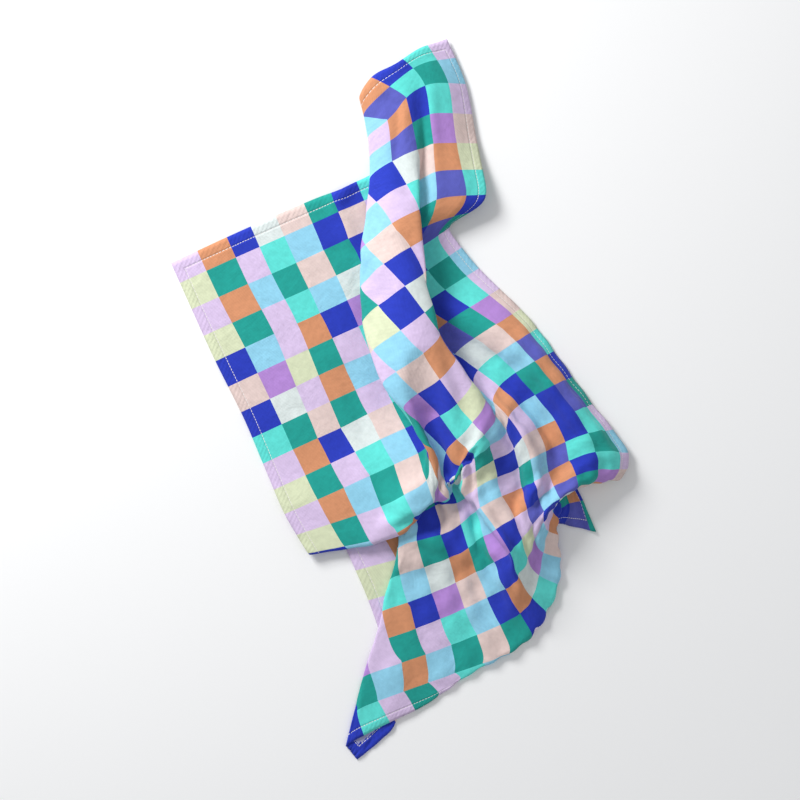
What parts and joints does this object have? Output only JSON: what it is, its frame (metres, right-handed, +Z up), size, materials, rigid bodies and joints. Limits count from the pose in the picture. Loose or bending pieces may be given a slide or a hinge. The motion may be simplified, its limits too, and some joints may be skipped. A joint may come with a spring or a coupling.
{
  "type": "tea towel",
  "caption": "Crumpled cotton tea towel lying flat, pleated along a raised ridge, with one corner drawn out and the lower end folded from beneath.",
  "frame": {"origin": "centre of the bounding box in plan, on the surface the towel lies on", "axes": "+Z up through the thin heap, +Y from the lower folded end towards the drawn-out corner, +X to the right seen from above"},
  "size_m": [0.4648, 0.7382, 0.0572],
  "materials": {
    "towel": "matte plain weave"
  },
  "bodies": {
    "root": {"towel": "towel"}
  },
  "joints": []
}
